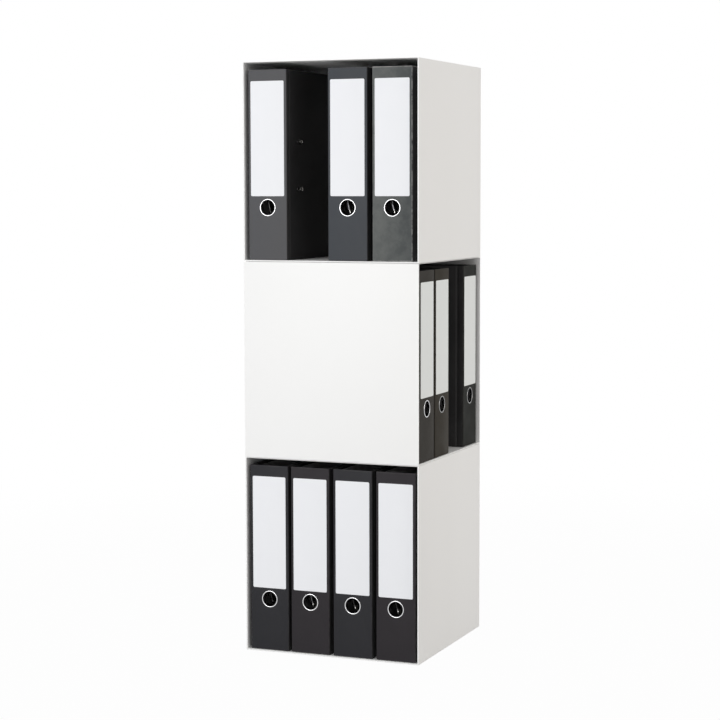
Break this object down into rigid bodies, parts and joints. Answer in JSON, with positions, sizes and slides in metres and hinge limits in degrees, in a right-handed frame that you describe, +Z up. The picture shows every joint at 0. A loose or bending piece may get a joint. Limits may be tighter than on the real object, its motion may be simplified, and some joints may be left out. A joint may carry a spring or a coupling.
{
  "type": "file shelf",
  "caption": "Free-standing square file tower of stacked white sheet-steel boxes that swivel on one another, each open on one side and holding black lever-arch binders that pull out.",
  "frame": {"origin": "middle of the square footprint, on the floor", "axes": "+Z up the tower, -Y out of the openings of the top and bottom boxes, +X out of the opening of the middle box"},
  "size_m": [0.315, 0.315, 1],
  "materials": {
    "white_coat": "fine matt powder coat",
    "cover_board": "black board with a fine-grained satin wrapping",
    "label_paper": "plain smooth paper",
    "ring_chrome": "bright plated",
    "nickel_steel": "nickel plated",
    "zinc_steel": "zinc plated",
    "slip_plastic": "smooth"
  },
  "bodies": {
    "bottom_box": {"bottom_box_shell": "white_coat", "bottom_box_back": "white_coat", "lower_slip_disc": "slip_plastic"},
    "middle_box": {"middle_box_shell": "white_coat", "middle_box_back": "white_coat", "lower_swivel_stud": "zinc_steel", "lower_swivel_washer": "zinc_steel", "lower_swivel_nut": "zinc_steel", "upper_slip_disc": "slip_plastic"},
    "top_box": {"top_box_shell": "white_coat", "top_box_back": "white_coat", "upper_swivel_stud": "zinc_steel", "upper_swivel_washer": "zinc_steel", "upper_swivel_nut": "zinc_steel"},
    "bottom_binder_1": {"bottom_binder_1_cover": "cover_board", "bottom_binder_1_label": "label_paper", "bottom_binder_1_finger_ring": "ring_chrome", "bottom_binder_1_lever_arch": "nickel_steel"},
    "bottom_binder_2": {"bottom_binder_2_cover": "cover_board", "bottom_binder_2_label": "label_paper", "bottom_binder_2_finger_ring": "ring_chrome", "bottom_binder_2_lever_arch": "nickel_steel"},
    "bottom_binder_3": {"bottom_binder_3_cover": "cover_board", "bottom_binder_3_label": "label_paper", "bottom_binder_3_finger_ring": "ring_chrome", "bottom_binder_3_lever_arch": "nickel_steel"},
    "bottom_binder_4": {"bottom_binder_4_cover": "cover_board", "bottom_binder_4_label": "label_paper", "bottom_binder_4_finger_ring": "ring_chrome", "bottom_binder_4_lever_arch": "nickel_steel"},
    "middle_binder_1": {"middle_binder_1_cover": "cover_board", "middle_binder_1_label": "label_paper", "middle_binder_1_finger_ring": "ring_chrome", "middle_binder_1_lever_arch": "nickel_steel"},
    "middle_binder_2": {"middle_binder_2_cover": "cover_board", "middle_binder_2_label": "label_paper", "middle_binder_2_finger_ring": "ring_chrome", "middle_binder_2_lever_arch": "nickel_steel"},
    "middle_binder_3": {"middle_binder_3_cover": "cover_board", "middle_binder_3_label": "label_paper", "middle_binder_3_finger_ring": "ring_chrome", "middle_binder_3_lever_arch": "nickel_steel"},
    "top_binder_1": {"top_binder_1_cover": "cover_board", "top_binder_1_label": "label_paper", "top_binder_1_finger_ring": "ring_chrome", "top_binder_1_lever_arch": "nickel_steel"},
    "top_binder_2": {"top_binder_2_cover": "cover_board", "top_binder_2_label": "label_paper", "top_binder_2_finger_ring": "ring_chrome", "top_binder_2_lever_arch": "nickel_steel"},
    "top_binder_3": {"top_binder_3_cover": "cover_board", "top_binder_3_label": "label_paper", "top_binder_3_finger_ring": "ring_chrome", "top_binder_3_lever_arch": "nickel_steel"}
  },
  "joints": [
    {"name": "lower_swivel", "type": "hinge", "parent": "bottom_box", "child": "middle_box", "pos_m": [0, 0, 0.33325], "axis": [0, 0, 1], "continuous": true},
    {"name": "upper_swivel", "type": "hinge", "parent": "middle_box", "child": "top_box", "pos_m": [0, 0, 0.66675], "axis": [0, 0, 1], "continuous": true},
    {"name": "bottom_binder_1_pull", "type": "slide", "parent": "bottom_box", "child": "bottom_binder_1", "axis": [0, -1, 0], "range_m": [0, 0.3]},
    {"name": "bottom_binder_2_pull", "type": "slide", "parent": "bottom_box", "child": "bottom_binder_2", "axis": [0, -1, 0], "range_m": [0, 0.3]},
    {"name": "bottom_binder_3_pull", "type": "slide", "parent": "bottom_box", "child": "bottom_binder_3", "axis": [0, -1, 0], "range_m": [0, 0.3]},
    {"name": "bottom_binder_4_pull", "type": "slide", "parent": "bottom_box", "child": "bottom_binder_4", "axis": [0, -1, 0], "range_m": [0, 0.3]},
    {"name": "middle_binder_1_pull", "type": "slide", "parent": "middle_box", "child": "middle_binder_1", "axis": [1, 0, 0], "range_m": [0, 0.3]},
    {"name": "middle_binder_2_pull", "type": "slide", "parent": "middle_box", "child": "middle_binder_2", "axis": [1, 0, 0], "range_m": [0, 0.3]},
    {"name": "middle_binder_3_pull", "type": "slide", "parent": "middle_box", "child": "middle_binder_3", "axis": [1, 0, 0], "range_m": [0, 0.3]},
    {"name": "top_binder_1_pull", "type": "slide", "parent": "top_box", "child": "top_binder_1", "axis": [0, -1, 0], "range_m": [0, 0.3]},
    {"name": "top_binder_2_pull", "type": "slide", "parent": "top_box", "child": "top_binder_2", "axis": [0, -1, 0], "range_m": [0, 0.3]},
    {"name": "top_binder_3_pull", "type": "slide", "parent": "top_box", "child": "top_binder_3", "axis": [0, -1, 0], "range_m": [0, 0.3]}
  ]
}
